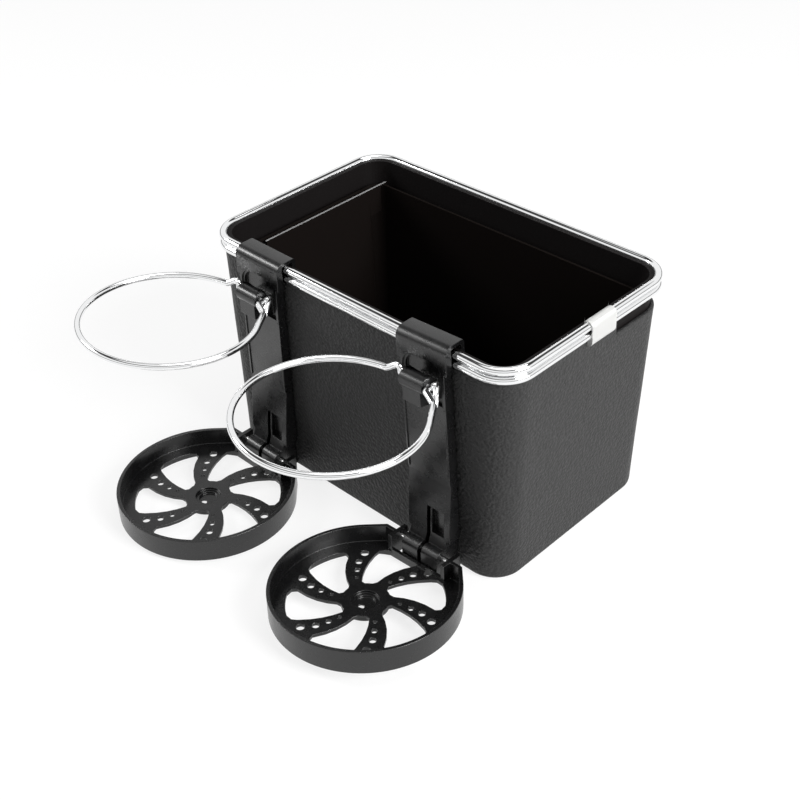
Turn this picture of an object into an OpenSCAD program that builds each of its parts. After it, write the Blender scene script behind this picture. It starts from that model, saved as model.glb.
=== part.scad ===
// Car armrest box: a leather-covered tub with a steel wire rim, and two hook-on cup holders.
// Each holder is a bracket that hangs on the rim, a wire hoop that folds down and a tray that folds up.
// The origin is the centre of the tub's underside. X runs along the tub, Y goes to its back, Z is up.
// Holder shapes are drawn as (out, z): "out" is the distance in front of the plane that the plates lie on.

/* [Tub] */
// Length of the tub at its rim, between the wires' centres
rim_length = 196; // [170:1:240]
// Depth of the tub at its rim, between the wires' centres
rim_depth = 119.4; // [100:0.2:150]
// Length of the tub at its base
base_length = 190; // [165:1:240]
// Depth of the tub at its base
base_depth = 115; // [96:1:150]
// How far the rim's centre lies behind the base's centre
rim_back = 2.6; // [0:0.2:4]
// Height of the upper rim wire's centre
rim_height = 122.6; // [112:0.2:150]
// Radius of the tub's upright corners
corner_radius = 16; // [12:0.5:24]
// Thickness of the padded leather cover
skin_thickness = 2.15; // [2.1:0.05:2.6]
// Thickness of the cover under the tub
skin_floor = 1.6; // [1:0.1:3]
// Thickness of the stiff shell
shell_thickness = 2; // [1.5:0.1:3]

/* [Rim] */
// Diameter of the rim wires
rim_wire = 4.2; // [3.6:0.1:4.2]
// Gap between the two rim wires
rim_gap = 0.4; // [0.2:0.1:0.8]
// Length of the crimped sleeve that joins the wires' ends
sleeve_length = 17.5; // [10:0.5:30]
// How far the sleeve's middle lies behind the rim's centre
sleeve_back = 4; // [-5:0.5:8]
// Wall of the sleeve
sleeve_wall = 0.8; // [0.5:0.1:1.2]
// How far the sleeve's crimped lip hangs under the lower wire
sleeve_lip = 2.6; // [1:0.1:4]
// Depth of the notch in the cover below the rim
notch_depth = 8.8; // [4:0.2:14]
// How far behind the rim's centre the notch starts
notch_start = 18.5; // [14:0.5:30]

/* [Lining] */
// Gap between the shell and the loose liner
liner_gap = 4.6; // [3:0.1:8]
// Thickness of the liner
liner_thickness = 1.2; // [0.8:0.1:2]
// How far the liner's top edge lies below the rim
liner_drop = 11; // [8:0.5:20]
// Gap between the liner's left wall and the end panel
panel_gap = 1.9; // [1:0.1:6]
// Where the end panel starts, in front of the rim's centre
panel_front = 35; // [10:1:38]

/* [Holders] */
// Place of the left hook's middle, as a share of the rim's length from the rim's middle
left_hook_share = 0.2857; // [0.25:0.001:0.31]
// Place of the right hook's middle, as a share of the rim's length from the rim's middle
right_hook_share = 0.272; // [0.25:0.001:0.31]
// How far the left holder hangs askew, its foot to the right
left_lean = -0.7; // [-3:0.1:3]
// How far the right holder hangs askew, its foot to the right
right_lean = 2.6; // [-3:0.1:3]
// Width of the hook over the rim
cap_width = 30.2; // [28:0.1:31]
// Width of the bracket's plate
plate_width = 26.8; // [26.4:0.1:28]
// Depth of the bracket's plate from the leather to its face
plate_depth = 4.6; // [4:0.1:4.8]
// Thickness of the plate's walls
plate_thickness = 2; // [1.6:0.1:2.4]
// Thickness of the hook over the rim
hook_thickness = 2; // [1.6:0.1:2.4]
// How far the hook's face stands in front of the leather
hook_front = 5.2; // [5:0.1:5.6]

/* [Hoops] */
// Inner diameter of the cup hoop
hoop_bore = 81.6; // [76:0.2:84]
// Diameter of the hoop's wire
hoop_wire = 3.2; // [2.8:0.1:3.2]
// Distance from the leather to the hoop's hinge
hoop_hinge_out = 11.8; // [11.5:0.1:12.5]
// Distance from the rim down to the hoop's hinge
hoop_hinge_drop = 13.5; // [13:0.1:14.5]
// How far the hoop's middle lies to the left of the holder's middle
hoop_shift = 6.8; // [6:0.1:8]
// Upward tilt of the left hoop as it stands open
left_hoop_tilt = 4; // [0:0.5:6]
// Upward tilt of the right hoop as it stands open
right_hoop_tilt = 2; // [0:0.5:6]
// How far the left hoop's ring is twisted down at its right side
left_hoop_twist = 0.4; // [0:0.1:4]
// How far the right hoop's ring is twisted down at its right side
right_hoop_twist = 3.6; // [0:0.1:4]
// Outer radius of the barrel that carries the hoop
barrel_radius = 4.2; // [3.6:0.1:4.4]

/* [Trays] */
// Radius of the tray's round end
tray_radius = 45.6; // [42:0.1:46]
// Height of the tray's wall
tray_height = 12.3; // [11.5:0.1:12.6]
// Thickness of the tray's wall
tray_wall = 1.9; // [1.5:0.1:2.2]
// Thickness of the tray's spokes
floor_thickness = 1.8; // [1.4:0.1:2.2]
// Depth of the pan from the wall's top edge to the floor
pan_depth = 9; // [8:0.1:9.4]
// Distance from the leather to the tray's hinge
tray_hinge_out = 10.8; // [10.6:0.1:11.5]
// Height of the tray's hinge
tray_hinge_z = 10.4; // [10.3:0.1:12]
// Distance from the hinge to the middle of the tray's round end
tray_reach = 40.5; // [40:0.1:44]
// Upward tilt of the left tray as it stands open
left_tray_tilt = 0.5; // [0.5:0.5:5]
// Upward tilt of the right tray as it stands open
right_tray_tilt = 3.2; // [0.5:0.1:5]
// Diameter of the tray's hinge pin
pin_diameter = 3; // [2.4:0.1:3]
// Number of spokes in the tray's floor
spokes = 6; // [6:1:7]

/* [Hidden] */

// Overrun of every cut, play of a running pin, and the gap beside moving faces
over = 1;
running_play = 0.05;
moving_gap = 0.4;
// Straight band along the top and bottom edges of the tub's tapered forms
edge_band = 0.5;
// A ball at a wire's bend is this share larger than the wire
ball_share = 1.012;

front_y = rim_back - rim_depth / 2;
// The plates hang upright in front of the wall, where it stands out furthest, and a pad behind the foot rests on it
lay_gap = 0.1;
foot_pad = 0.5;
lay = max(0, base_depth / 2 + front_y) + lay_gap + foot_pad;
wire_radius = rim_wire / 2;
lower_height = rim_height - rim_wire - rim_gap;
skin_top = lower_height - wire_radius;
shell_inset = skin_thickness;
shell_inner_inset = shell_inset + shell_thickness;
liner_inset = shell_inner_inset + liner_gap;
liner_inner_inset = liner_inset + liner_thickness;
shell_floor_top = skin_floor + shell_thickness;
liner_floor_top = shell_floor_top + liner_thickness;
liner_top = rim_height - liner_drop;
panel_tab_depth = 16;
panel_lean = panel_x(liner_top - panel_tab_depth) - panel_x(liner_top);
hoop_hinge_z = rim_height - hoop_hinge_drop;
hoop_radius = (hoop_bore + hoop_wire) / 2;
hoop_wire_radius = hoop_wire / 2;
pin_radius = pin_diameter / 2;
hub = [0, -tray_reach];

// Points of an arc in a drawing, from angle a0 to angle a1
function arc(centre, r, a0, a1, steps) =
    [for (i = [0 : steps]) let (a = a0 + (a1 - a0) * i / steps) centre + r * [cos(a), sin(a)]];

// A point of the tray's floor at radius r, its angle counted from +X towards the front
function floor_point(r, a) = hub + r * [cos(a), -sin(a)];

// Draws children in (out, z) and gives them a width along X
module along_x(width) {
    rotate([90, 0, -90])
        linear_extrude(width, center = true)
            children();
}

// The same between two places along X
module from_x(x0, x1) {
    translate([(x0 + x1) / 2, 0, 0])
        along_x(x1 - x0)
            children();
}

// Half the tub's outer length, and how far back its rear wall stands, at height z
function half_length(z) = (base_length + (rim_length - base_length) * z / rim_height) / 2;
function half_depth(z) = (base_depth + (rim_depth - base_depth) * z / rim_height) / 2;
function back_wall(z) = rim_back * z / rim_height + half_depth(z);

// The end panel's face towards the left wall at height z
function panel_x(z) = liner_inner_inset + panel_gap - half_length(z);

// A holder's middle along the rim, its lean, and how far the lean lifts its hook off the wire
function holder_x(side) = rim_length * (side > 0 ? right_hook_share : -left_hook_share);
function holder_lean(side) = side > 0 ? right_lean : left_lean;
function lift(side) = cap_width / 2 * abs(sin(holder_lean(side)));

// Puts children, drawn about a holder's middle line and the leather, in their place
module at_holder(side) {
    translate([holder_x(side), front_y - lay, rim_height + lift(side)])
        rotate([0, -holder_lean(side), 0])
            translate([0, 0, -rim_height])
                children();
}

// A round wire from one point to another
module rod(a, b, r) {
    step = b - a;
    translate(a)
        rotate([0, acos(step.z / norm(step)), atan2(step.y, step.x)])
            cylinder(h = norm(step), r = r, $fn = 32);
}

// A wire bent along a list of points, with a ball at each inner bend
module bent_wire(points, r) {
    for (i = [0 : len(points) - 2])
        rod(points[i], points[i + 1], r);
    for (i = [1 : len(points) - 2])
        translate(points[i])
            sphere(r = r * ball_share, $fn = 32);
}

// The tub's outer form set in by inset, between two heights
module tub_form(inset, z0, z1) {
    hull()
        for (z = [z0, z1], sx = [-1, 1], sy = [-1, 1]) {
            r = corner_radius - inset;
            middle_y = back_wall(z) - half_depth(z);
            translate([sx * (half_length(z) - corner_radius), middle_y + sy * (half_depth(z) - corner_radius),
                    z - (z == z1 ? edge_band : 0)])
                cylinder(h = edge_band, r = r, $fn = 48);
        }
}

// A rim wire: a closed rounded rectangle of round wire
module rim_wire_at(height) {
    straight_x = rim_length - 2 * corner_radius;
    straight_y = rim_depth - 2 * corner_radius;
    translate([0, rim_back, height]) {
        for (s = [-1, 1]) {
            translate([0, s * rim_depth / 2, 0])
                rotate([0, 90, 0])
                    cylinder(h = straight_x, r = wire_radius, center = true, $fn = 32);
            translate([s * rim_length / 2, 0, 0])
                rotate([90, 0, 0])
                    cylinder(h = straight_y, r = wire_radius, center = true, $fn = 32);
        }
        for (corner = [[1, 1, 0], [-1, 1, 90], [-1, -1, 180], [1, -1, 270]])
            translate([corner.x * straight_x / 2, corner.y * straight_y / 2, 0])
                rotate([0, 0, corner.z])
                    rotate_extrude(angle = 90, $fn = 64)
                        translate([corner_radius, 0])
                            circle(r = wire_radius, $fn = 32);
    }
}

module tub_shell() color("#1d1d1e")
    difference() {
        tub_form(shell_inset, skin_floor, rim_height);
        tub_form(shell_inner_inset, shell_floor_top, rim_height + over);
    }

module leather_skin() color("#3b3a39")
    difference() {
        tub_form(0, 0, skin_top);
        tub_form(shell_inset, skin_floor, rim_height);
        notch();
    }

// The strip left bare below the rim, from behind the sleeve to round the back right corner
module notch() {
    slant = 3;
    wrap = 24;
    bottom = skin_top - notch_depth;
    start = rim_back + notch_start;
    translate([rim_length / 2 - wrap, 0, 0])
        rotate([90, 0, 90])
            linear_extrude(2 * wrap)
                polygon([[start, bottom], [rim_depth, bottom],
                    [rim_depth, rim_height], [start - slant, rim_height]]);
}

module inner_liner() color("#161617")
    difference() {
        tub_form(liner_inset, shell_floor_top, liner_top);
        tub_form(liner_inner_inset, liner_floor_top, rim_height);
        // Slot for the end panel's tab
        translate([panel_x(liner_top) - moving_gap / 2, 0, liner_top - panel_tab_depth])
            cube([liner_thickness + panel_lean + moving_gap, rim_depth, rim_height]);
    }

// A thin board that leans like the end wall, with a tab that reaches through the liner to the shell
module liner_end_panel() color("#2a2a2b") {
    tab_bottom = liner_top - panel_tab_depth;
    tab_gap = 1.4;
    for (stretch = [[rim_back - panel_front, back_wall(liner_floor_top) - corner_radius, liner_floor_top],
            [0, back_wall(tab_bottom) - shell_inner_inset - tab_gap, tab_bottom + moving_gap]])
        translate([0, stretch[1], 0])
            rotate([90, 0, 0])
                linear_extrude(stretch[1] - stretch[0])
                    polygon([[panel_x(stretch[2]), stretch[2]], [panel_x(liner_top), liner_top],
                        [panel_x(liner_top) + liner_thickness, liner_top],
                        [panel_x(stretch[2]) + liner_thickness, stretch[2]]]);
}

module rim_wire_upper() color("#d8dadd") rim_wire_at(rim_height);

module rim_wire_lower() color("#d8dadd") rim_wire_at(lower_height);

// A crimped clamp round both wires on the right end, open towards the shell
module rim_sleeve() color("#c9cac8") {
    inner = wire_radius + running_play;
    outer = inner + sleeve_wall;
    open_x = -outer - skin_thickness;
    lip_z = lower_height - sleeve_lip - inner;
    cover_x = max(0, half_length(lip_z) - rim_length / 2) + running_play;
    middle = [rim_length / 2, rim_back + sleeve_back, 0];
    translate(middle)
        rotate([90, 0, 0])
            difference() {
                linear_extrude(sleeve_length, center = true)
                    polygon(concat(arc([0, rim_height], outer, 0, 180, 16),
                        arc([0, lower_height - sleeve_lip], outer, 180, 360, 16)));
                linear_extrude(sleeve_length + over, center = true)
                    polygon(concat(arc([0, rim_height], inner, 0, 180, 24),
                        arc([0, lower_height], inner, 180, 360, 24)));
                // The shell's and the cover's side of the clamp
                linear_extrude(sleeve_length + over, center = true)
                    polygon([[open_x, 0], [-inner, 0], [-inner, rim_height + rim_wire], [open_x, rim_height + rim_wire]]);
                linear_extrude(sleeve_length + over, center = true)
                    polygon([[open_x, 0], [cover_x, 0], [cover_x, lower_height], [open_x, lower_height]]);
            }
}

// Bracket

leg_out = -shell_inner_inset - lay;
leg_drop = 9;
hook_top = rim_height + wire_radius + hook_thickness;
// The hook's inside passes the lower wire and meets the plate this far below the cover's edge
hook_step = 2.6;
step_z = skin_top - hook_step;
wire_front = wire_radius + moving_gap - lay;
// The hook's inside reaches its full depth just above the lower wire's underside, with room for the lean
lean_room = 0.2;
ledge_drop = 29;
ledge_z = rim_height - ledge_drop;
foot_half = 11.4;
foot_start = 18;
lug_radius = 4.3;
toe_z = 1.4;
slit_width = 2.2;
barrel_x0 = -4.2;
barrel_x1 = 9.8;

// Side view of the hook over the rim
module hook_side() {
    inner_round = 1.8;
    front_round = 2.4;
    inner_top = hook_top - hook_thickness;
    leg_bottom = rim_height - leg_drop;
    polygon(concat(
        [[leg_out - hook_thickness, leg_bottom]],
        arc([leg_out - hook_thickness + inner_round, hook_top - inner_round], inner_round, 180, 90, 6),
        arc([hook_front - front_round, hook_top - front_round], front_round, 90, 0, 10),
        [[hook_front, step_z - over], [0, step_z - over], [0, step_z],
            [wire_front, lower_height - wire_radius + lean_room], [wire_front, inner_top - moving_gap],
            [wire_front - moving_gap, inner_top],
            [leg_out + moving_gap, inner_top], [leg_out, inner_top - moving_gap],
            [leg_out, leg_bottom]]));
}

// Side view of the plate with its long slope down to the foot
module plate_side() {
    slope_top = 50;
    slope_out = 7.2;
    slope_bottom = 25;
    polygon([[0, foot_start], [slope_out + moving_gap, foot_start], [slope_out, slope_bottom],
        [plate_depth, slope_top], [plate_depth, ledge_z + over], [0, ledge_z + over]]);
}

// The leather's front at height z, counted from the plate's back
function wall_out(z) = front_y - lay - rim_back * z / rim_height + half_depth(z);

// Side view of the pad behind the foot, whose back follows the leather
module pad_side() {
    pad_top = 30;
    polygon([[plate_thickness, toe_z], [plate_thickness, pad_top], [wall_out(pad_top) + lay_gap, pad_top],
        [wall_out(toe_z) + lay_gap, toe_z]]);
}

// Side view of the foot: the thick part, the rounded lug round the pin, and the toe that stops the tray
module foot_side(tilt) {
    axis = [tray_hinge_out, tray_hinge_z];
    drop = tray_hinge_z - toe_z;
    toe_out = tray_hinge_out + lug_radius * cos(tilt);
    foot_top = 27;
    waist_out = 7.4;
    waist_z = 19;
    polygon(concat(
        [[0, toe_z], [0, foot_top], [plate_depth, foot_top], [waist_out, waist_z]],
        arc(axis, lug_radius, 110, -tilt, 14),
        [[toe_out + drop * tan(tilt), toe_z]]));
}

// The boss that carries the hoop's barrel
module boss_side() {
    boss_out = 2.8;
    boss_drop = 10.8;
    root_drop = 13.2;
    boss_top = hoop_hinge_z + barrel_radius - moving_gap;
    polygon([[0, hoop_hinge_z - root_drop], [0, boss_top], [hoop_hinge_out, boss_top],
        [hoop_hinge_out + boss_out, hoop_hinge_z], [hoop_hinge_out + boss_out, hoop_hinge_z - boss_drop],
        [plate_depth, hoop_hinge_z - root_drop]]);
}

// The arch-shaped recess under the hook, set in by inset
module arch(inset, out) {
    arch_rail = 1.4;
    arch_drop = 5.6;
    arch_round = 8;
    half = plate_width / 2 - arch_rail - inset;
    top = rim_height - arch_drop - inset;
    round_r = arch_round - inset;
    translate([0, -out, 0])
        rotate([90, 0, 0])
            linear_extrude(2 * hook_front)
                polygon(concat([[-half, ledge_z], [half, ledge_z]],
                    arc([half - round_r, top - round_r], round_r, 0, 90, 8),
                    arc([round_r - half, top - round_r], round_r, 90, 180, 8)));
}

module bracket(side, tilt) {
    half = plate_width / 2;
    outer_step = 4.4;
    inner_step = 3;
    step_width = 1.2;
    rib_width = 1.1;
    rib_rise = 0.5;
    rib_bottom = 51;
    boss_inset = 0.8;
    boss_shift = 2.4;
    channel_bottom = 36;
    panel_top = 34;
    panel_bottom = 20;
    panel_x1 = 9.8;
    panel_recess = 1;
    at_holder(side)
        difference() {
            union() {
                // Hook and head with the arch-shaped recess
                difference() {
                    union() {
                        along_x(cap_width)
                            hook_side();
                        along_x(plate_width)
                            polygon([[0, ledge_z], [hook_front, ledge_z], [hook_front, step_z], [0, step_z - over]]);
                    }
                    arch(0, outer_step);
                    arch(step_width, inner_step);
                }
                along_x(plate_width)
                    plate_side();
                // Edge ribs down the plate
                for (s = [-1, 1])
                    translate([s * (half - rib_width / 2), 0, 0])
                        along_x(rib_width)
                            polygon([[0, rib_bottom], [plate_depth, rib_bottom],
                                [plate_depth + rib_rise, rib_bottom + over], [plate_depth + rib_rise, ledge_z + over],
                                [0, ledge_z + over]]);
                // Boss and barrel
                from_x(barrel_x0 + boss_inset, barrel_x1 - boss_shift)
                    boss_side();
                from_x(barrel_x0, barrel_x1)
                    translate([hoop_hinge_out, hoop_hinge_z])
                        circle(r = barrel_radius, $fn = 48);
                along_x(2 * foot_half)
                    foot_side(tilt);
                along_x(2 * foot_half)
                    pad_side();
            }
            // Bore of the barrel
            from_x(barrel_x0 - over, barrel_x1 + over)
                translate([hoop_hinge_out, hoop_hinge_z])
                    circle(r = hoop_wire_radius + running_play, $fn = 48);
            // Bore of the foot
            along_x(2 * foot_half + 2 * over)
                translate([tray_hinge_out, tray_hinge_z])
                    circle(r = pin_radius + running_play, $fn = 48);
            // Slit down the foot
            along_x(slit_width)
                polygon([[plate_thickness, toe_z + over], [tray_hinge_out + 2 * lug_radius, toe_z + over],
                    [tray_hinge_out + 2 * lug_radius, panel_top], [plate_thickness, panel_top]]);
            // Recess beside the slit
            from_x(slit_width, panel_x1)
                polygon([[plate_depth, panel_bottom], [tray_hinge_out, panel_bottom],
                    [tray_hinge_out, panel_top], [plate_depth, panel_top]]);
            // The plate is hollow from behind
            along_x(plate_width - 2 * plate_thickness)
                polygon([[-over, channel_bottom], [plate_depth - plate_thickness, channel_bottom],
                    [plate_depth - plate_thickness, ledge_z - over], [-over, ledge_z - over]]);
        }
}

module left_bracket() color("#232324") bracket(-1, left_tray_tilt);

module right_bracket() color("#232324") bracket(1, right_tray_tilt);

// Hoop

// The hinge's ends lie clear of the barrel by the wire's radius and the moving gap
right_bend = barrel_x1 + hoop_wire_radius + moving_gap;
left_bend = barrel_x0 - hoop_wire_radius - moving_gap;
// The ring's middle, and where its arc ends, counted from the side towards the tub
hoop_reach = hoop_radius;
right_arc_end = 37;
left_arc_end = 9;
// Corners of the kinked end and of the stiffening triangle, counted from the hinge's ends: right, back and up
kink = [[-0.9, 0.9, 2.8], [-4.6, 1.5, 2.4]];
heel = [1.6, 4.6, 0.3];
triangle_end = 39;

// A point of the ring at an angle from the side towards the tub, twisted about its line of reach
function ring_point(a, twist) =
    [-hoop_shift * cos(twist) + hoop_radius * sin(a) * cos(twist), -hoop_reach + hoop_radius * cos(a),
        -hoop_radius * sin(a) * sin(twist)];

module hoop(side, tilt, twist) {
    right_end = ring_point(right_arc_end, twist);
    left_end = ring_point(-left_arc_end, twist);
    at_holder(side)
        translate([0, -hoop_hinge_out, hoop_hinge_z])
            rotate([-tilt, 0, 0]) {
                rotate([0, twist, 0])
                    translate([-hoop_shift, -hoop_reach, 0])
                        rotate_extrude(start = 90 + left_arc_end, angle = 360 - left_arc_end - right_arc_end, $fn = 96)
                            translate([hoop_radius, 0])
                                circle(r = hoop_wire_radius, $fn = 32);
                // From the arc's right end through the barrel and over the kink to its left end
                bent_wire(concat([right_end, [right_bend, 0, 0], [left_bend, 0, 0]],
                    [for (k = kink) [left_bend, 0, 0] + k], [left_end]), hoop_wire_radius);
                // Stiffening triangle
                bent_wire([[right_bend, 0, 0], [right_bend, 0, 0] + heel, ring_point(triangle_end, twist)],
                    hoop_wire_radius);
                // Rounded joints at the arc's ends
                for (end = [left_end, right_end])
                    translate(end)
                        sphere(r = hoop_wire_radius * ball_share, $fn = 32);
            }
}

module left_hoop() color("#d8dadd") hoop(-1, left_hoop_tilt, left_hoop_twist);

module right_hoop() color("#d8dadd") hoop(1, right_hoop_tilt, right_hoop_twist);

// Tray

rim_rise = 2.9;
tray_bottom = rim_rise - tray_height;
floor_top = rim_rise - pan_depth;
floor_bottom = floor_top - floor_thickness;
hinge_half = 18.5;
hinge_back = 5;
ear_thickness = 2.4;
ear_inner = hinge_half - ear_thickness;
side_back = -0.6;
notch_front = lug_radius + moving_gap;
floor_lift = 1.1;
swing_radius = tray_hinge_z - floor_lift;
hub_radius = 11.5;
cup_radius = 6.4;
opening_outer = 37.4;
// The openings' two swirled edges turn by these angles between two radii
swirl_start = 276;
swirl_width = 32;
swirl_turn_a = 17;
swirl_turn_b = 23;
swirl_inner = 12;
swirl_outer = 34;

// The tray's outline set in by inset: a round end drawn in to a narrow hinge end
function tray_outline(inset) =
    let (r = tray_radius - inset, w = hinge_half - inset,
        tangent = hub + r * [cos(45), sin(45)],
        side = min(side_back, side_back - inset),
        wide = tangent.x + tangent.y - side)
    concat(arc(hub, r, 45, -225, 84), [[-wide, side], [-w, side], [-w, hinge_back - inset],
        [w, hinge_back - inset], [w, side], [wide, side]]);

// Angles of an opening's two swirled edges at radius r
function swirl_share(r) = (r - swirl_inner) / (swirl_outer - swirl_inner);
function edge_a(r) = swirl_start + swirl_turn_a * swirl_share(r);
function edge_b(r) = swirl_start + swirl_width + swirl_turn_b * swirl_share(r);

// One swirled opening of the floor
module opening(turn) {
    edge_gap = 0.3;
    corner_round = 7;
    corner_gap = 1.4;
    corner_turn = 2;
    radii = [13.4, 18, 23, 28, 33.4];
    polygon(concat(
        [for (r = radii) floor_point(r, turn + edge_a(r))],
        [floor_point(opening_outer - corner_gap, turn + edge_a(swirl_outer) + corner_turn)],
        [for (i = [0 : 5])
            floor_point(opening_outer, turn + edge_a(swirl_outer) + corner_round
                + i / 5 * (edge_b(swirl_outer) - edge_a(swirl_outer) - 2 * corner_round))],
        [floor_point(opening_outer - corner_gap, turn + edge_b(swirl_outer) - corner_turn)],
        [for (i = [len(radii) - 1 : -1 : 0]) floor_point(radii[i], turn + edge_b(radii[i]))],
        [for (i = [0 : 2]) floor_point(hub_radius + edge_gap, turn + edge_b(swirl_inner) - corner_round
            - i / 2 * (edge_b(swirl_inner) - edge_a(swirl_inner) - 2 * corner_round))]));
}

// Drain holes along one spoke, growing outwards: distance from the hub, turn along the swirl, and radius
module spoke_holes(turn) {
    first_turn = 29.5;
    holes = [[16.5, 0, 0.9], [22.2, 4.8, 1.35], [28.2, 8.5, 1.7], [34.4, 14.5, 2]];
    for (hole = holes) {
        place = floor_point(hole[0], turn + first_turn + hole[1]);
        translate([place.x, place.y, tray_bottom - over])
            cylinder(h = tray_height, r = hole[2], $fn = 24);
    }
}

module tray(side, tilt) {
    pitch = 360 / spokes;
    cup_floor = 0.8;
    step_depth = 1.4;
    step_radius = 4.6;
    drain_radius = 1.5;
    drain_front = 3;
    sill = 1;
    ring_inner = opening_outer + edge_band;
    at_holder(side)
        translate([0, -tray_hinge_out, tray_hinge_z])
            rotate([-tilt, 0, 0])
                difference() {
                    union() {
                        // Wall
                        translate([0, 0, tray_bottom])
                            linear_extrude(tray_height)
                                difference() {
                                    polygon(tray_outline(0));
                                    polygon(tray_outline(tray_wall));
                                }
                        // Thick ring of the floor along the wall
                        translate([0, 0, tray_bottom])
                            linear_extrude(floor_top - tray_bottom)
                                difference() {
                                    polygon(tray_outline(tray_wall / 2));
                                    translate(hub)
                                        circle(r = ring_inner, $fn = 96);
                                }
                        // Floor with its swirled openings
                        difference() {
                            translate([0, 0, floor_bottom])
                                linear_extrude(floor_thickness)
                                    polygon(tray_outline(tray_wall / 2));
                            for (k = [0 : spokes - 1])
                                translate([0, 0, floor_bottom - over])
                                    linear_extrude(floor_thickness + 2 * over)
                                        opening(k * pitch);
                        }
                        // Hub
                        translate([hub.x, hub.y, tray_bottom])
                            cylinder(h = floor_top - tray_bottom, r = hub_radius, $fn = 64);
                        // Ears, and the sill between them in front of the foot
                        for (s = [-1, 1])
                            translate([s * (hinge_half + ear_inner) / 2, 0, 0])
                                along_x(ear_thickness)
                                    ear_side();
                        along_x(2 * ear_inner + over)
                            polygon([[notch_front, tray_bottom], [notch_front + tray_wall, tray_bottom],
                                [notch_front + tray_wall, floor_top + sill], [notch_front, floor_top + sill]]);
                    }
                    // Room for the bracket's foot
                    translate([-ear_inner, -notch_front, tray_bottom - over])
                        cube([2 * ear_inner, 2 * tray_radius, tray_height + 2 * over]);
                    for (k = [0 : spokes - 1])
                        spoke_holes(k * pitch);
                    // Stepped dish in the hub, with a drain hole
                    translate([hub.x, hub.y, floor_top - step_depth])
                        cylinder(h = tray_height, r = cup_radius, $fn = 64);
                    translate([hub.x, hub.y, tray_bottom + cup_floor])
                        cylinder(h = tray_height, r = step_radius, $fn = 64);
                    translate([hub.x, hub.y - drain_front, tray_bottom - over])
                        cylinder(h = tray_height, r = drain_radius, $fn = 24);
                    // The hinge end is rounded so that it swings clear of the floor
                    along_x(2 * tray_radius)
                        difference() {
                            polygon([[-hinge_back - over, tray_bottom - over], [0, tray_bottom - over],
                                [0, 0], [-hinge_back - over, 0]]);
                            circle(r = swing_radius, $fn = 96);
                        }
                    // Bore of the ears
                    along_x(2 * hinge_half + 2 * over)
                        circle(r = pin_radius, $fn = 48);
                }
}

// Side view of an ear
module ear_side() {
    front = notch_front + tray_wall;
    polygon([[-hinge_back, tray_bottom], [front, tray_bottom], [front, rim_rise],
        [over - hinge_back, rim_rise], [-hinge_back, rim_rise - over]]);
}

module left_tray() color("#232324") tray(-1, left_tray_tilt);

module right_tray() color("#232324") tray(1, right_tray_tilt);

module tray_pin(side) {
    chamfer = 0.3;
    half = hinge_half - chamfer;
    at_holder(side)
        translate([0, -tray_hinge_out, tray_hinge_z])
            rotate([0, 90, 0]) {
                cylinder(h = 2 * half, r = pin_radius, center = true, $fn = 48);
                for (s = [0, 180])
                    rotate([s, 0, 0])
                        translate([0, 0, half])
                            cylinder(h = chamfer, r1 = pin_radius, r2 = pin_radius - chamfer, $fn = 48);
            }
}

module left_tray_pin() color("#b9babc") tray_pin(-1);

module right_tray_pin() color("#b9babc") tray_pin(1);

tub_shell();
leather_skin();
inner_liner();
liner_end_panel();
rim_wire_upper();
rim_wire_lower();
rim_sleeve();
left_bracket();
left_hoop();
left_tray();
left_tray_pin();
right_bracket();
right_hoop();
right_tray();
right_tray_pin();
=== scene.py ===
# %% [markdown]
# # A car armrest box with hook-on cup holders
#
# The box is a stiff tub covered in grained artificial leather. Two bright wires run round its rim, and two
# black plastic brackets hook over the front. Each bracket carries a wire hoop that holds a cup and a tray
# that the cup stands on. The solids arrive finished and in place. This lesson makes the leather cover, the
# wires and the moulded pieces finer than the solids are, and then gives every piece its finish.

# %% Load the solids
import math

import bmesh
import bpy
from mathutils import Matrix, Vector, noise


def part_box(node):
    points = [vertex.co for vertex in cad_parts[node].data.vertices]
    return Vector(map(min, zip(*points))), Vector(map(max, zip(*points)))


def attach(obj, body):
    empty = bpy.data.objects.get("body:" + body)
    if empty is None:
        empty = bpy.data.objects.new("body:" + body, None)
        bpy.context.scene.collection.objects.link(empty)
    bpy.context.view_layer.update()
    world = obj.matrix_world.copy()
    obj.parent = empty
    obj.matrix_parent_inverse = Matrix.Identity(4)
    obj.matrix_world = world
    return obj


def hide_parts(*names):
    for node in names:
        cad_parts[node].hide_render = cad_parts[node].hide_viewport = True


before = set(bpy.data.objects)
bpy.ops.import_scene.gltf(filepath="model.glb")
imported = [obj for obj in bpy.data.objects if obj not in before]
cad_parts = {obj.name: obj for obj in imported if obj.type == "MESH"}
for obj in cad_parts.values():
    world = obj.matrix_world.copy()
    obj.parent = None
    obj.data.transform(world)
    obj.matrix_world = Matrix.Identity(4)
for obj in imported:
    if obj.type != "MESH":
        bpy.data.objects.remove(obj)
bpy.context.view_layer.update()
MM = 0.001
print("nodes:", ", ".join(sorted(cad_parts)))

# %% [markdown]
# ## The camera
#
# The camera stands far enough away that the near corner isn't swollen. The lines of the rim and of the base
# give its place: to the right of the box and in front of it, about 0.7 metres away and at more than three
# times its height. The lens follows from how much of the picture the box fills. The camera is aimed along
# two angles and then rolled a little, because it was held slightly askew.

# %% Place the camera
IMAGE_SIDE = 800
camera_place = Vector((387.5, -406.8, 444.2)) * MM
look_round = math.radians(45.36)
look_down = math.radians(36.1)
camera_roll = math.radians(-2.25)
focal_pixels = 1322.0
sensor_width = 36.0

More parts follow.
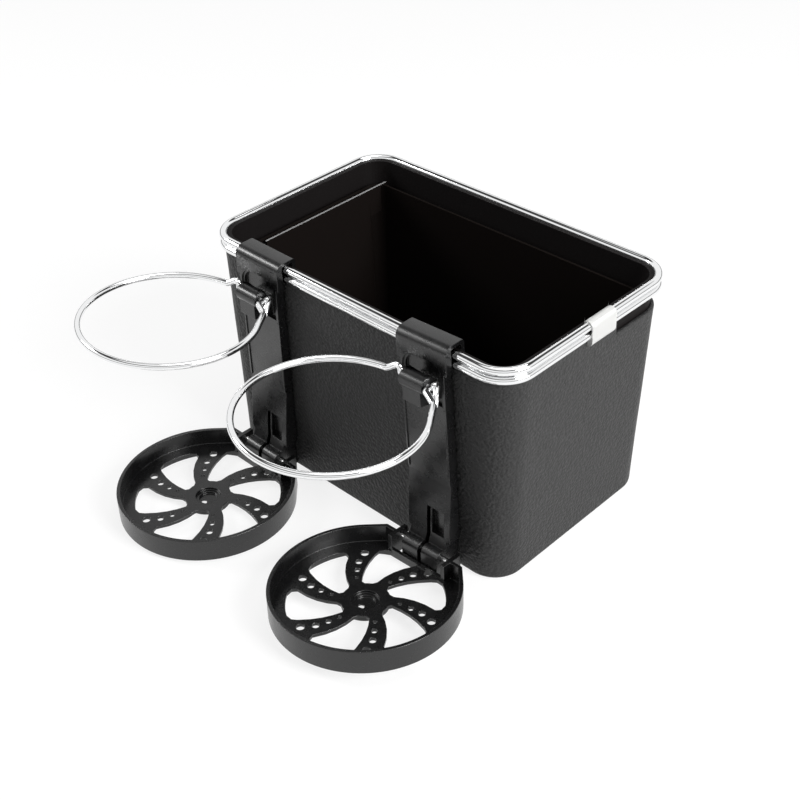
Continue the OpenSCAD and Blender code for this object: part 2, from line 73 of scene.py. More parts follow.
view_line = Vector((-math.sin(look_round) * math.cos(look_down),
                    math.cos(look_round) * math.cos(look_down),
                    -math.sin(look_down)))
camera_data = bpy.data.cameras.new("camera")
camera_data.sensor_width = sensor_width
camera_data.lens = focal_pixels * sensor_width / IMAGE_SIDE
camera_data.clip_start = 0.01
camera = bpy.data.objects.new("camera", camera_data)
scene = bpy.context.scene
scene.collection.objects.link(camera)
aim = view_line.to_track_quat("-Z", "Y").to_matrix() @ Matrix.Rotation(camera_roll, 3, "Z")
camera.matrix_world = Matrix.Translation(camera_place) @ aim.to_4x4()
scene.camera = camera
print("lens", round(camera_data.lens, 1), "mm")

# %% [markdown]
# ## A white room with dark gaps
#
# The box is shown on plain white, so the camera sees a white world. The light that falls on the box is a
# softer grey sky and three lamps, which keeps the leather dark. Mirrors need something else: a bright wire in
# an all-white room would vanish against the page. Studio rooms have dark gaps between their white boards, and
# each wire mirrors them as thin dark lines. So the mirrors see a white sky with dark bands at two heights.

# %% The world's light
def add_node(tree, kind, **values):
    """Adds a node, sets its sockets and settings by name, and hands it back."""
    node = tree.nodes.new(kind)
    for name, value in values.items():
        label = name.replace("_", " ")
        if label in node.inputs:
            node.inputs[label].default_value = value
        else:
            setattr(node, name, value)
    return node


def ramp(tree, value, stops):
    """Turns a value into greys, by pairs of place and brightness."""
    node = add_node(tree, "ShaderNodeValToRGB")
    steps = node.color_ramp.elements
    steps.remove(steps[0])
    for index, (place, grey) in enumerate(stops):
        step = steps[0] if index == 0 else steps.new(place)
        step.position = place
        step.color = (grey, grey, grey, 1)
    tree.links.new(value, node.inputs["Fac"])
    return node.outputs["Color"]


def larger(tree, first, second):
    """The larger of two values."""
    node = add_node(tree, "ShaderNodeMath", operation="MAXIMUM")
    tree.links.new(first, node.inputs[0])
    tree.links.new(second, node.inputs[1])
    return node.outputs[0]


def mix_shaders(tree, share, first, second):
    """One shader at a share of 0 and another at 1."""
    node = add_node(tree, "ShaderNodeMixShader")
    tree.links.new(share, node.inputs[0])
    tree.links.new(first, node.inputs[1])
    tree.links.new(second, node.inputs[2])
    return node.outputs[0]


world = bpy.data.worlds.new("white room")
scene.world = world
world.use_nodes = True
sky = world.node_tree
sky.nodes.clear()
ambient_level = 0.14
gaps = [(0.0, 0.05), (0.11, 0.08), (0.17, 1.0), (0.66, 1.0), (0.7, 0.06), (0.84, 0.06), (0.9, 1.0)]
white = add_node(sky, "ShaderNodeBackground", Color=(1, 1, 1, 1), Strength=1.0)
soft = add_node(sky, "ShaderNodeBackground", Color=(1, 1, 1, 1), Strength=ambient_level)
boards = add_node(sky, "ShaderNodeBackground", Strength=1.0)
facing = add_node(sky, "ShaderNodeTexCoord")
parts = add_node(sky, "ShaderNodeSeparateXYZ")
path = add_node(sky, "ShaderNodeLightPath")
sky.links.new(facing.outputs["Generated"], parts.inputs[0])
sky.links.new(ramp(sky, parts.outputs["Z"], gaps), boards.inputs["Color"])
lit = mix_shaders(sky, path.outputs["Is Glossy Ray"], soft.outputs[0], boards.outputs[0])
clear = larger(sky, path.outputs["Is Camera Ray"], path.outputs["Is Transmission Ray"])
shown = mix_shaders(sky, clear, lit, white.outputs[0])
sky_out = add_node(sky, "ShaderNodeOutputWorld")
sky.links.new(shown, sky_out.inputs["Surface"])
print("mirrors see dark gaps at sky heights", [place for place, grey in gaps if grey < 0.5])

# %% Lamps
def soft_lamp(name, place, target, size, watts):
    """A square area lamp, aimed at a point of the box."""
    data = bpy.data.lights.new(name, "AREA")
    data.size = size
    data.energy = watts
    lamp = bpy.data.objects.new(name, data)
    scene.collection.objects.link(lamp)
    lamp.location = place
    lamp.rotation_euler = (Vector(target) - Vector(place)).to_track_quat("-Z", "Y").to_euler()


box_middle = Vector((0, 0, 0.06))
soft_lamp("key lamp", (1.2, 0.1, 0.8), box_middle, 0.7, 27)
soft_lamp("edge lamp", (-1.1, -0.6, 0.8), box_middle, 0.4, 8.5)
soft_lamp("top lamp", (0.1, 0.3, 1.4), box_middle, 0.8, 6)
scene.view_settings.view_transform = "Standard"

# %% [markdown]
# ## The floor
#
# A white floor under a camera that sees it as light has no shadow at all, and the box would float. So the
# floor is mostly plain light to the eye, with a small share of white paint, and the paint holds the shadow.

# %% The floor
floor_reach = 4.0
floor_drop = 0.2
floor_white_share = 0.76
floor_glow = 1.06
paper_grey = 0.86

floor_mesh = bpy.data.meshes.new("floor")
floor_corners = [(x * floor_reach, y * floor_reach, 0) for x, y in ((-1, -1), (1, -1), (1, 1), (-1, 1))]
floor_mesh.from_pydata(floor_corners, [], [(0, 1, 2, 3)])
floor = bpy.data.objects.new("floor", floor_mesh)
floor.location.z = -floor_drop * MM
scene.collection.objects.link(floor)
floor_paint = bpy.data.materials.new("white floor")
floor_paint.use_nodes = True
tree = floor_paint.node_tree
tree.nodes.clear()
paper = add_node(tree, "ShaderNodeBsdfDiffuse", Color=(paper_grey, paper_grey, paper_grey, 1))
glow = add_node(tree, "ShaderNodeEmission", Color=(1, 1, 1, 1), Strength=floor_glow)
path = add_node(tree, "ShaderNodeLightPath")
mirrors = larger(tree, path.outputs["Is Glossy Ray"], path.outputs["Is Transmission Ray"])
weight = add_node(tree, "ShaderNodeMath", operation="MULTIPLY")
weight.inputs[1].default_value = floor_white_share
tree.links.new(larger(tree, path.outputs["Is Camera Ray"], mirrors), weight.inputs[0])
out = add_node(tree, "ShaderNodeOutputMaterial")
seen_floor = mix_shaders(tree, weight.outputs[0], paper.outputs[0], glow.outputs[0])
tree.links.new(seen_floor, out.inputs["Surface"])
floor_mesh.materials.append(floor_paint)
print("floor's side:", 2 * floor_reach, "m")

# %% [markdown]
# ## Finishes
#
# Every finish here starts from one shader and adds what the real surface has: small bumps from a texture in
# real millimetres, a roughness that varies a little, and a colour that is nearly, but not quite, even. All
# textures read the position in space, so they have the same scale on every piece.

# %% A start for every finish
def finish_of(name, colour, roughness, metallic=0.0, specular=0.5):
    """A new material with one shader, and the parts of it that the later cells connect to."""
    material = bpy.data.materials.new(name)
    material.use_nodes = True
    tree = material.node_tree
    shader = tree.nodes["Principled BSDF"]
    shader.inputs["Base Color"].default_value = (*colour, 1)
    shader.inputs["Roughness"].default_value = roughness
    shader.inputs["Metallic"].default_value = metallic
    shader.inputs["Specular IOR Level"].default_value = specular
    place = add_node(tree, "ShaderNodeTexCoord")
    return material, tree, shader, place.outputs["Object"]


def noise_at(tree, place, scale, detail=3.0, roughness=0.55):
    """Cloudy noise with a grain of 1 / scale metres."""
    cloud = add_node(tree, "ShaderNodeTexNoise", Scale=scale, Detail=detail, Roughness=roughness)
    tree.links.new(place, cloud.inputs["Vector"])
    return cloud.outputs["Fac"]


def spread(tree, value, low, high):
    """Moves a value that lies about 0.3 to 0.7 into the range from low to high."""
    ranged = add_node(tree, "ShaderNodeMapRange")
    ranged.inputs["From Min"].default_value = 0.3
    ranged.inputs["From Max"].default_value = 0.7
    ranged.inputs["To Min"].default_value = low
    ranged.inputs["To Max"].default_value = high
    tree.links.new(value, ranged.inputs["Value"])
    return ranged.outputs["Result"]


def tint(tree, shader, value, low, high):
    """Lets the shader's colour wander between two greys with a value that lies about 0.3 to 0.7."""
    tree.links.new(ramp(tree, value, [(0.3, low), (0.7, high)]), shader.inputs["Base Color"])


def bump(tree, shader, height, depth, strength=1.0):
    """Bumps of a depth in metres on the shader, on top of any that it has."""
    node = add_node(tree, "ShaderNodeBump", Strength=strength, Distance=depth)
    tree.links.new(height, node.inputs["Height"])
    if shader.inputs["Normal"].links:
        tree.links.new(shader.inputs["Normal"].links[0].from_socket, node.inputs["Normal"])
    tree.links.new(node.outputs["Normal"], shader.inputs["Normal"])


# %% [markdown]
# ### Grained leather
#
# The cover is artificial leather, printed with a grain of small, soft, uneven cells with fine creases
# between them. A cell texture gives the creases, and cloudy noise bends its straight edges first, so that no
# two cells look alike. A second, finer noise breaks up the gloss on top of each cell, and a wide, slow one
# lets the colour wander a little, as it does where the cover was pulled round the board.

# %% Leather
def leather_finish():
    """Black leather. Scales are grains per metre, and depths are in metres."""
    bend_scale, cell_scale, pore_scale, shade_scale, gloss_scale = 420.0, 620.0, 1700, 1300, 900
    bend, crease_depth, pore_depth = 0.0012, 0.0005, 0.0002
    material, tree, shader, place = finish_of("grained leather", (0.026, 0.025, 0.024), 0.5, specular=0.25)
    warp = add_node(tree, "ShaderNodeTexNoise", Scale=bend_scale, Detail=2.0)
    tree.links.new(place, warp.inputs["Vector"])
    offset = add_node(tree, "ShaderNodeVectorMath", operation="SCALE")
    offset.inputs["Scale"].default_value = bend
    tree.links.new(warp.outputs["Color"], offset.inputs[0])
    moved = add_node(tree, "ShaderNodeVectorMath", operation="ADD")
    tree.links.new(place, moved.inputs[0])
    tree.links.new(offset.outputs[0], moved.inputs[1])
    cells = add_node(tree, "ShaderNodeTexVoronoi", feature="SMOOTH_F1", Scale=cell_scale, Smoothness=0.3)
    tree.links.new(moved.outputs[0], cells.inputs["Vector"])
    bump(tree, shader, cells.outputs["Distance"], -crease_depth)
    bump(tree, shader, noise_at(tree, place, pore_scale, 3), pore_depth, 0.8)
    tint(tree, shader, noise_at(tree, place, shade_scale, 5), 0.014, 0.036)
    gloss = spread(tree, noise_at(tree, place, gloss_scale, 4), 0.4, 0.62)
    tree.links.new(gloss, shader.inputs["Roughness"])
    return material


# %% [markdown]
# ### Bright wire
#
# The rim and the hoops are steel wire with bright nickel and chrome plating. Plating is a mirror, so it shows
# what stands round it, and its own colour hardly matters. A trace of roughness and the faint long waves that
# drawing leaves in a wire keep the mirror from looking like computer chrome.

# %% Bright wire
def wire_finish():
    """Chrome plating with faint long waves."""
    material, tree, shader, place = finish_of("bright wire", (0.86, 0.865, 0.87), 0.1, metallic=1.0)
    bump(tree, shader, noise_at(tree, place, 160, 2), 0.00004, 0.1)
    tree.links.new(spread(tree, noise_at(tree, place, 500, 3), 0.03, 0.08), shader.inputs["Roughness"])
    return material


# %% [markdown]
# ### Satin black plastic
#
# The brackets and trays come out of one kind of mould, with a faint spark-eroded texture that turns a gloss
# into a satin. The texture is far finer than the leather's, about a tenth of a millimetre.

# %% Satin plastic
def plastic_finish():
    """Moulded plastic with a fine spark-eroded texture."""
    black = (0.004, 0.004, 0.0042)
    material, tree, shader, place = finish_of("satin black plastic", black, 0.26, specular=0.62)
    bump(tree, shader, noise_at(tree, place, 5200, 2), 0.00002, 0.5)
    tree.links.new(spread(tree, noise_at(tree, place, 130, 3), 0.22, 0.32), shader.inputs["Roughness"])
    return material


# %% [markdown]
# ### Board, lining and small metal
#
# The inside takes almost no light, so the board and the lining are plain dark papers with a faint unevenness.
# The top edge of the end panel is painted pale, a painted highlight where that edge catches light. The sleeve
# is duller than the wires it holds, because its plating was bent and pressed, and the hinge pins are bare
# steel.

# %% Board, lining and small metal
def board_finish():
    """Stiff black board."""
    material, tree, shader, place = finish_of("black board", (0.006, 0.005, 0.005), 0.6, specular=0.1)
    bump(tree, shader, noise_at(tree, place, 1400, 4), 0.00008, 0.6)
    return material


def lining_finish():
    """Black paper-like lining."""
    material, tree, shader, place = finish_of("black lining", (0.006, 0.0045, 0.004), 0.5, specular=0.06)
    bump(tree, shader, noise_at(tree, place, 700, 4), 0.00006, 0.5)
    return material


def painted_highlight_edge_finish():
    """A painted highlight: pale colour for a board's top edge where it catches light."""
    material, tree, shader, place = finish_of("painted highlight edge", (0.3, 0.29, 0.28), 0.8, specular=0.2)
    tint(tree, shader, noise_at(tree, place, 2600, 3), 0.2, 0.36)
    return material


def sleeve_finish():
    """Dull plating on pressed sheet."""
    material, tree, shader, place = finish_of("dull sleeve", (0.72, 0.72, 0.71), 0.42, metallic=0.85)
    bump(tree, shader, noise_at(tree, place, 1500, 3), 0.00004, 0.5)
    return material


def pin_finish():
    """Bare steel."""
    material, tree, shader, place = finish_of("steel pin", (0.62, 0.62, 0.62), 0.25, metallic=1.0)
    bump(tree, shader, noise_at(tree, place, 2500, 2), 0.00002, 0.4)
    return material


finishes = {
    "leather": leather_finish(),
    "chrome_wire": wire_finish(),
    "black_plastic": plastic_finish(),
    "board": board_finish(),
    "lining": lining_finish(),
    "sleeve_metal": sleeve_finish(),
    "pin_steel": pin_finish(),
}
painted_highlight_edge = painted_highlight_edge_finish()
print("finishes:", ", ".join(finishes))

# %% [markdown]
# ## The leather cover
#
# The solid of the cover has sharp edges, and padded leather has none. The cover is made again as a grid of
# columns round the tub and rows down its wall: the top edge rolls over under the lower wire, the bottom edge
# turns in a soft round, and the wall swells and sinks by a tenth of a millimetre, as leather on board does.
# Behind the sleeve the cover was cut lower, round the back corner, which leaves a strip of bare board.

# %% The tub's form
rim_length, rim_depth, rim_back, rim_height = 196.0, 119.4, 2.6, 122.6
base_length, base_depth = 190.0, 115.0
corner_radius = 16.0
wire_radius = 2.1
lower_wire_height = 118.0
cover_top = lower_wire_height - wire_radius


def half_length(z):
    """Half the tub's outer length at a height."""
    return (base_length + (rim_length - base_length) * z / rim_height) / 2


def half_depth(z):
    """Half the tub's outer depth at a height."""
    return (base_depth + (rim_depth - base_depth) * z / rim_height) / 2


def wall_point(column, inset, z):
    """A point of the tub's wall, set in by inset, in millimetres."""
    along, across, nx, ny = column
    radius = corner_radius - inset
    middle_y = rim_back * z / rim_height
    return Vector((along * (half_length(z) - corner_radius) + nx * radius,
                   middle_y + across * (half_depth(z) - corner_radius) + ny * radius, z))


def even(start, stop, count):
    """Evenly spread values, without the last one."""
    return [start + (stop - start) * i / count for i in range(count)]


print("tub's size at the rim:", 2 * half_length(rim_height), "by", 2 * half_depth(rim_height), "mm")

# %% Columns round the tub
def outline(long_steps, short_steps, corner_steps):
    """Columns round the tub, as shares along and across its straights, and the way the wall faces."""
    columns = [(t, -1, 0, -1) for t in even(-1, 1, long_steps)]
    columns += [(1, -1, math.cos(a), math.sin(a)) for a in even(-math.pi / 2, 0, corner_steps)]
    columns += [(1, t, 1, 0) for t in even(-1, 1, short_steps)]
    columns += [(1, 1, math.cos(a), math.sin(a)) for a in even(0, math.pi / 2, corner_steps)]
    columns += [(t, 1, 0, 1) for t in even(1, -1, long_steps)]
    columns += [(-1, 1, math.cos(a), math.sin(a)) for a in even(math.pi / 2, math.pi, corner_steps)]
    columns += [(-1, t, -1, 0) for t in even(1, -1, short_steps)]
    columns += [(-1, -1, math.cos(a), math.sin(a)) for a in even(math.pi, 1.5 * math.pi, corner_steps)]
    return columns


strip_depth = 8.8
strip_start_high, strip_start_low = 0.392, 0.431
strip_end_low, strip_end_high = 0.9076, 0.9036
columns = outline(62, 34, 14)
columns += [(1, strip_start_high, 1, 0), (1, strip_start_low, 1, 0)]
columns += [(strip_end_low, 1, 0, 1), (strip_end_high, 1, 0, 1)]
hair = 1e-6


def turn_of(column):
    """The order of a column round the tub, from the front wall's left end."""
    place = wall_point(column, 0, cover_top)
    nx, ny = column[2:]
    side = round(math.degrees(math.atan2(ny, nx)) + 360) % 360
    if side == 270:
        return (270, place.x)
    if side == 0:
        return (360, place.y)
    if side == 90:
        return (450, -place.x)
    if side == 180:
        return (540, -place.y)
    angle = math.degrees(math.atan2(ny, nx)) % 360
    return (angle if angle >= 270 else angle + 360, 0)


columns.sort(key=turn_of)


def bared(column):
    """Whether the cover is cut lower at a column."""
    along, across, nx, ny = column
    on_right = nx == 1 and across > strip_start_low - hair
    on_corner = nx > 0 and ny > 0
    on_back = ny == 1 and along > strip_end_low - hair
    return on_right or on_corner or on_back


print("columns round the tub:", len(columns), "of them bared:", sum(bared(c) for c in columns))

# %% The cover's mesh
inner_inset = 2.13
floor_level = 1.55
roll_by_depth = [(inner_inset, 0.5), (1.95, 0.12), (1.55, 0), (0.95, 0.02), (0.45, 0.22), (0.12, 0.6)]
roll_depth = 1.15
base_round, base_steps = 2.2, 5
under_reach = 8.0
wall_rows = 40
swell, swell_grain = 0.12, 0.035
fade_at_base, fade_at_top = 12, 8


def cover_profile(top):
    """Inset and height of each row, from inside the top edge, over it, down the wall and under the tub."""
    roll = [(inner_inset, floor_level)] + [(inset, top - depth) for inset, depth in roll_by_depth]
    wall_top = top - roll_depth
    wall = [(0, wall_top + (base_round - wall_top) * i / wall_rows) for i in range(wall_rows)]
    turns = [i * math.pi / (2 * base_steps) for i in range(base_steps + 1)]
    base = [(base_round * (1 - math.cos(a)), base_round * (1 - math.sin(a))) for a in turns]
    return roll + wall + base + [(under_reach, 0.0)]


def sink(point, z, top):
    """How far the wall sinks at a point, fading out at its edges."""
    fade = min(1, (z - base_round) / fade_at_base, (top - z) / fade_at_top)
    return swell * max(0, fade) * (1 + noise.noise(point * swell_grain))


def mesh_object(name, work, materials, body, node):
    """Turns mesh work into a piece that rides on a body and stands for a solid."""
    bmesh.ops.recalc_face_normals(work, faces=work.faces)
    mesh = bpy.data.meshes.new(name)
    work.to_mesh(mesh)
    work.free()
    for material in materials:
        mesh.materials.append(material)
    piece = bpy.data.objects.new(name, mesh)
    scene.collection.objects.link(piece)
    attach(piece, body)
    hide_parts(node)
    return piece


work = bmesh.new()
rings = []
for column in columns:
    top = cover_top - (strip_depth if bared(column) else 0)
    ring = []
    for inset, z in cover_profile(top):
        if inset == 0:
            inset = sink(wall_point(column, 0, z), z, top)
        ring.append(work.verts.new(wall_point(column, inset, z) * MM))
    rings.append(ring)
for left, right in zip(rings, rings[1:] + rings[:1]):
    for row in range(len(left) - 1):
        work.faces.new((left[row], right[row], right[row + 1], left[row + 1])).smooth = True
for row in (0, -1):
    work.faces.new([ring[row] for ring in rings])
cover = mesh_object("leather_cover", work, [finishes["leather"]], "tub", "leather_skin")
print("leather cover:", len(cover.data.polygons), "faces")

# %% [markdown]
# ## Wires
#
# A wire is a tube along a line. Blender's curves can do that, but a mesh made ring by ring lets the bends be
# exactly as tight as a bending tool leaves them. Each corner of the line is first replaced by a short curve,
# and the rings are then carried along without twisting.

# %% Tubes along a line
def rounded(points, cut, closed, steps=6):
    """A line of points with each corner replaced by a curve that starts a cut's length before it."""
    count = len(points)
    line = []
    for i, point in enumerate(points):
        if not closed and i in (0, count - 1):
            line.append(point)
            continue
        before, after = points[i - 1] - point, points[(i + 1) % count] - point
        a = point + before.normalized() * min(cut, 0.45 * before.length)
        b = point + after.normalized() * min(cut, 0.45 * after.length)
        for s in range(steps + 1):
            t = s / steps
            line.append(a * (1 - t) ** 2 + point * (2 * t * (1 - t)) + b * t ** 2)
    return line


def add_tube(work, line, radius, closed, sides=20):
    """Adds a round tube along a line of points, with round ends where it is open."""
    count = len(line)
    ahead = [(line[(i + 1) % count] - line[i - 1]).normalized() for i in range(count)]
    if not closed:
        ahead[0], ahead[-1] = (line[1] - line[0]).normalized(), (line[-1] - line[-2]).normalized()
    across = ahead[0].orthogonal().normalized()
    frames = []
    for way in ahead:
        across = (across - way * across.dot(way)).normalized()
        frames.append((way, across))
    slip = 0.0
    if closed:
        first_way, first_across = frames[0]
        carried = (across - first_way * across.dot(first_way)).normalized()
        slip = math.atan2(first_way.dot(carried.cross(first_across)), carried.dot(first_across))
    rings = []
    for i, (way, side) in enumerate(frames):
        up = way.cross(side)
        start = slip * i / count
        spokes = [side * math.cos(a + start) + up * math.sin(a + start) for a in even(0, 2 * math.pi, sides)]
        rings.append([work.verts.new((line[i] + radius * spoke) * MM) for spoke in spokes])
    pairs = list(zip(rings, rings[1:])) + ([(rings[-1], rings[0])] if closed else [])
    for one, two in pairs:
        for k in range(sides):
            work.faces.new((one[k], one[(k + 1) % sides], two[(k + 1) % sides], two[k])).smooth = True
    if not closed:
        for ring in (rings[0], rings[-1]):
            work.faces.new(ring)


# %% [markdown]
# ### The rim
#
# The two rim wires are closed loops, one above the other, with straights along the tub's walls and round
# corners. The sleeve on the right end hides where their ends meet.

# %% Rim wires
def rim_line(height):
    """The line of a rim wire, as points in millimetres."""
    points = []
    straight_x, straight_y = rim_length / 2 - corner_radius, rim_depth / 2 - corner_radius
    for along, across, nx, ny in outline(30, 18, 18):
        points.append(Vector((along * straight_x + nx * corner_radius,
                              rim_back + across * straight_y + ny * corner_radius, height)))
    return points


for name, node, height in (("upper_wire", "rim_wire_upper", rim_height),
                           ("lower_wire", "rim_wire_lower", lower_wire_height)):
    work = bmesh.new()
    add_tube(work, rim_line(height), wire_radius, closed=True, sides=28)
    wire = mesh_object(name, work, [finishes["chrome_wire"]], "tub", node)
    print(name, len(wire.data.polygons), "faces")

# %% [markdown]
# ### The cup hoops
#
# Each hoop is one wire: most of a circle, then a leg to the bracket's barrel, through it, and a small kink
# back to the circle. A short bent wire is welded across the corner at the right end and makes a stiff
# triangle. The hoops are drawn about their own hinge and then put in place, askew as the holders hang.

# %% Where the holders hang
holders = {
    "left": {"middle": -0.2857 * rim_length, "lean": -0.7, "hoop_tilt": 4.0, "twist": 0.4},
    "right": {"middle": 0.272 * rim_length, "lean": 2.6, "hoop_tilt": 2.0, "twist": 3.6},
}
cap_half = 15.1
plate_back = -58.1
hoop_hinge_out, hoop_hinge_z = 11.8, 109.1


def holder_frame(holder):
    """Places what is drawn about a holder's middle line and the leather."""
    lean = math.radians(holder["lean"])
    lift = cap_half * abs(math.sin(lean))
    return (Matrix.Translation((holder["middle"], plate_back, rim_height + lift))
            @ Matrix.Rotation(-lean, 4, "Y") @ Matrix.Translation((0, 0, -rim_height)))


def hoop_frame(holder):
    """Places what is drawn about the middle of the hoop's hinge."""
    tilt = math.radians(holder["hoop_tilt"])
    return (holder_frame(holder) @ Matrix.Translation((0, -hoop_hinge_out, hoop_hinge_z))
            @ Matrix.Rotation(-tilt, 4, "X"))


# %% Hoops
hoop_radius, hoop_wire_radius, hoop_shift = 42.4, 1.6, 6.8
right_bend, left_bend = 11.8, -6.2
right_arc_end, left_arc_end, straight_end = 37, -9, 52
brace_radius = 1.45
kink = [Vector((-0.9, 0.9, 2.8)), Vector((-4.6, 1.5, 2.4))]
front_corner, back_corner = Vector((11.5, -3.3, 0)), Vector((11.9, 4.2, 0.5))
joint_shift = Vector((1.4, 1.4, 0))
hoop_bend, brace_bend, brace_overlap = 1.7, 1.6, 0.8


def ring_point(turn, twist):
    """A point of the hoop's circle, counted from the side towards the tub."""
    a, t = math.radians(turn), math.radians(twist)
    return Vector((-hoop_shift * math.cos(t) + hoop_radius * math.sin(a) * math.cos(t),
                   -hoop_radius + hoop_radius * math.cos(a), -hoop_radius * math.sin(a) * math.sin(t)))


for side, holder in holders.items():
    twist = holder["twist"]
    circle = [ring_point(a, twist) for a in range(straight_end, 360 + left_arc_end + 1, 2)]
    left_corner, right_corner = Vector((left_bend, 0, 0)), Vector((right_bend, 0, 0))
    joint = ring_point(right_arc_end, twist) + joint_shift
    leg = [left_corner + kink[1], left_corner + kink[0], left_corner, right_corner, front_corner]
    place = hoop_frame(holder)
    work = bmesh.new()
    loop_line = rounded([joint] + circle + leg, hoop_bend, closed=True)
    add_tube(work, [place @ p for p in loop_line], hoop_wire_radius, closed=True)
    brace_end = joint + (joint - front_corner).normalized() * brace_overlap
    brace_line = rounded([right_corner, back_corner, brace_end], brace_bend, closed=False)
    add_tube(work, [place @ p for p in brace_line], brace_radius, closed=False)
    hoop = mesh_object(side + "_cup_hoop", work, [finishes["chrome_wire"]], side + "_hoop", side + "_hoop")
    print(hoop.name, len(hoop.data.polygons), "faces")

# %% [markdown]
# ## Moulded pieces
#
# The brackets and trays have the right shape already, but every edge is knife-sharp, and a real mould leaves
# a small round on each. Only round edges catch a thin line of light. Each piece is copied, its triangles are
# welded into one surface, and a bevel rounds the edges between faces that meet at more than a small angle.
# Two places on the brackets are first cut with a bar, because the real mould is freer there: the hook's front
# edge is a wide round, and nothing fills the corner between the barrel and the arch behind it.

# %% Copies of solids
weld_reach, cut_weld_reach, cut_speck = 0.003, 0.03, 0.01


def copy_of(node, name, material, body):
    """A copy of a solid, welded into one surface, which stands for it."""
    work = bmesh.new()
    work.from_mesh(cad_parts[node].data)
    bmesh.ops.remove_doubles(work, verts=work.verts, dist=weld_reach * MM)
    piece = mesh_object(name, work, [material], body, node)
    if "custom_normal" in piece.data.attributes:
        piece.data.attributes.remove(piece.data.attributes["custom_normal"])
    return piece


def cut_away(piece, profile, x0, x1, place):
    """Cuts a bar out of a piece. Its profile is drawn as pairs of (out, z), and it runs from x0 to x1."""
    work = bmesh.new()
    ends = [[work.verts.new(place @ Vector((x, -out, z)) * MM) for out, z in profile] for x in (x0, x1)]
    for end in ends:
        work.faces.new(end)
    for i in range(len(profile)):
        work.faces.new((ends[0][i - 1], ends[0][i], ends[1][i], ends[1][i - 1]))
    bmesh.ops.recalc_face_normals(work, faces=work.faces)
    cutter_mesh = bpy.data.meshes.new("cutter")
    work.to_mesh(cutter_mesh)
    work.free()
    cutter = bpy.data.objects.new("cutter", cutter_mesh)
    scene.collection.objects.link(cutter)
    cut = piece.modifiers.new("cut", "BOOLEAN")
    cut.operation, cut.solver, cut.object = "DIFFERENCE", "EXACT", cutter
    bpy.context.view_layer.update()
    result = bpy.data.meshes.new_from_object(piece.evaluated_get(bpy.context.evaluated_depsgraph_get()))
    piece.modifiers.remove(cut)
    bpy.data.objects.remove(cutter)
    work = bmesh.new()
    work.from_mesh(result)
    bmesh.ops.remove_doubles(work, verts=work.verts, dist=cut_weld_reach * MM)
    bmesh.ops.dissolve_degenerate(work, edges=work.edges, dist=cut_speck * MM)
    work.to_mesh(result)
    work.free()
    piece.data = result


def round_edges(piece, width, angle=28):
    """Rounds every edge of a piece that is sharper than an angle, to a width in millimetres."""
    for face in piece.data.polygons:
        face.use_smooth = True
    rounding = piece.modifiers.new("round edges", "BEVEL")
    rounding.width = width * MM
    rounding.segments = 2
    rounding.limit_method = "ANGLE"
    rounding.angle_limit = math.radians(angle)
    rounding.use_clamp_overlap = False
    rounding.harden_normals = True


# %% Brackets and trays
hook_thickness = 2.0
hook_front, hook_top = 5.2, rim_height + wire_radius + hook_thickness
cap_round, cap_arc, cap_span = 4.6, (88, 2), (-16, 16)
cut_past = 1
barrel_radius = 4.21
recess_out = 3.01
shelf_drop, shelf_rise, shelf_arc_end, shelf_span = 1.5, 5, 92, (-4.6, 8.6)
arc_steps = 12
edge_rounds = {"bracket": 0.22, "tray": 0.25, "pin": 0.12, "sleeve": 0.15, "panel": 0.1}


def arc(out, z, radius, start, stop):
    """Points of an arc, as pairs of (out, z)."""
    angles = [math.radians(start + (stop - start) * i / arc_steps) for i in range(arc_steps + 1)]
    return [(out + radius * math.cos(a), z + radius * math.sin(a)) for a in angles]


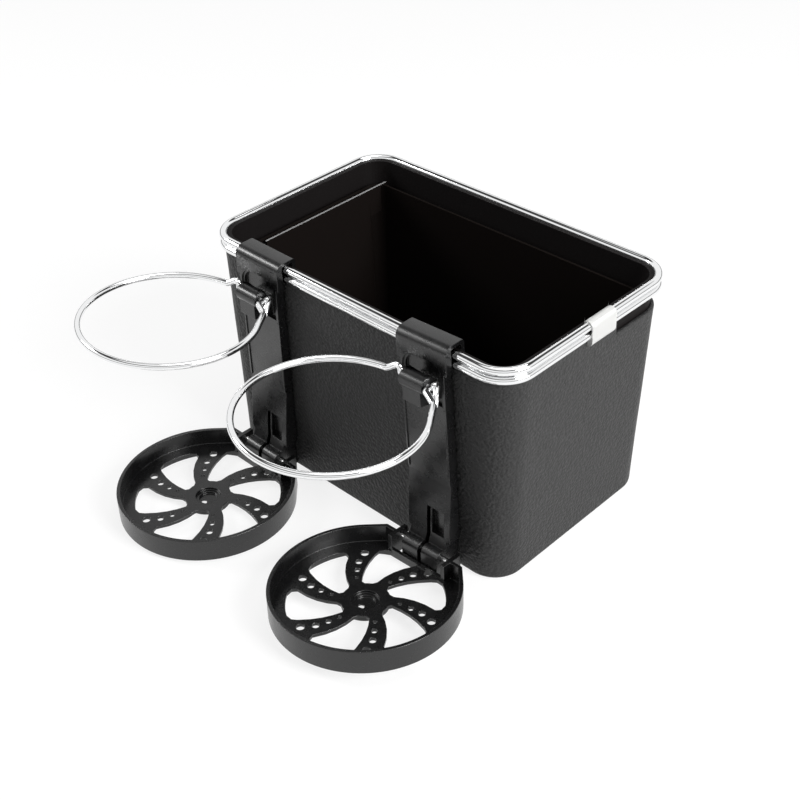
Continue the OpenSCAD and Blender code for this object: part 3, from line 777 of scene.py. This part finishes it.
cap_out, cap_z = hook_front - cap_round, hook_top - cap_round
past_front, past_top = hook_front + cut_past, hook_top + cut_past
cap_corner = arc(cap_out, cap_z, cap_round, *cap_arc)
cap_corner += [(past_front, cap_z), (past_front, past_top), (cap_out, past_top)]
shelf_angle = 180 + math.degrees(math.asin(shelf_drop / barrel_radius))
shelf_top = hoop_hinge_z + shelf_rise
shelf = arc(hoop_hinge_out, hoop_hinge_z, barrel_radius, shelf_angle, shelf_arc_end)
shelf += [(hoop_hinge_out, shelf_top), (recess_out, shelf_top), (recess_out, hoop_hinge_z - shelf_drop)]
for side, holder in holders.items():
    bracket = copy_of(side + "_bracket", side + "_moulded_bracket", finishes["black_plastic"], "tub")
    cut_away(bracket, cap_corner, *cap_span, holder_frame(holder))
    cut_away(bracket, shelf, *shelf_span, holder_frame(holder))
    tray = copy_of(side + "_tray", side + "_moulded_tray", finishes["black_plastic"], side + "_tray")
    pin = copy_of(side + "_tray_pin", side + "_hinge_pin", finishes["pin_steel"], side + "_tray")
    for piece, kind, slot in ((bracket, "bracket", "black_plastic"), (tray, "tray", "black_plastic"),
                              (pin, "pin", "pin_steel")):
        round_edges(piece, edge_rounds[kind])
        print(piece.name, len(piece.data.polygons), "faces before rounding")

# %% [markdown]
# ## Sleeve and end panel
#
# The sleeve is pressed from sheet, so its edges are only just broken. The end panel is a board, black on its
# faces, and its up-facing top is painted pale as a painted highlight, which shows as a thin light line along
# its top inside the tub.

# %% Sleeve and end panel
facing_up, edge_band = 0.9, 0.5

sleeve = copy_of("rim_sleeve", "crimped_sleeve", finishes["sleeve_metal"], "tub")
round_edges(sleeve, edge_rounds["sleeve"])
panel = copy_of("liner_end_panel", "end_panel", finishes["lining"], "tub")
round_edges(panel, edge_rounds["panel"])
panel.data.materials.append(painted_highlight_edge)
panel_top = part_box("liner_end_panel")[1].z
# Painted highlight: the panel's up-facing top faces get the pale colour, standing for light caught on its top
# edge.
for face in panel.data.polygons:
    if face.normal.z > facing_up and face.center.z > panel_top - edge_band * MM:
        face.material_index = 1
print("pale faces on the end panel:", sum(face.material_index for face in panel.data.polygons))

# %% [markdown]
# ## Board and lining
#
# Two solids are shown as they are: the stiff shell and the loose liner inside it. They only need a finish.

# %% Board and lining
for node, which in (("tub_shell", "board"), ("inner_liner", "lining")):
    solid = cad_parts[node]
    solid.data.materials.clear()
    solid.data.materials.append(finishes[which])
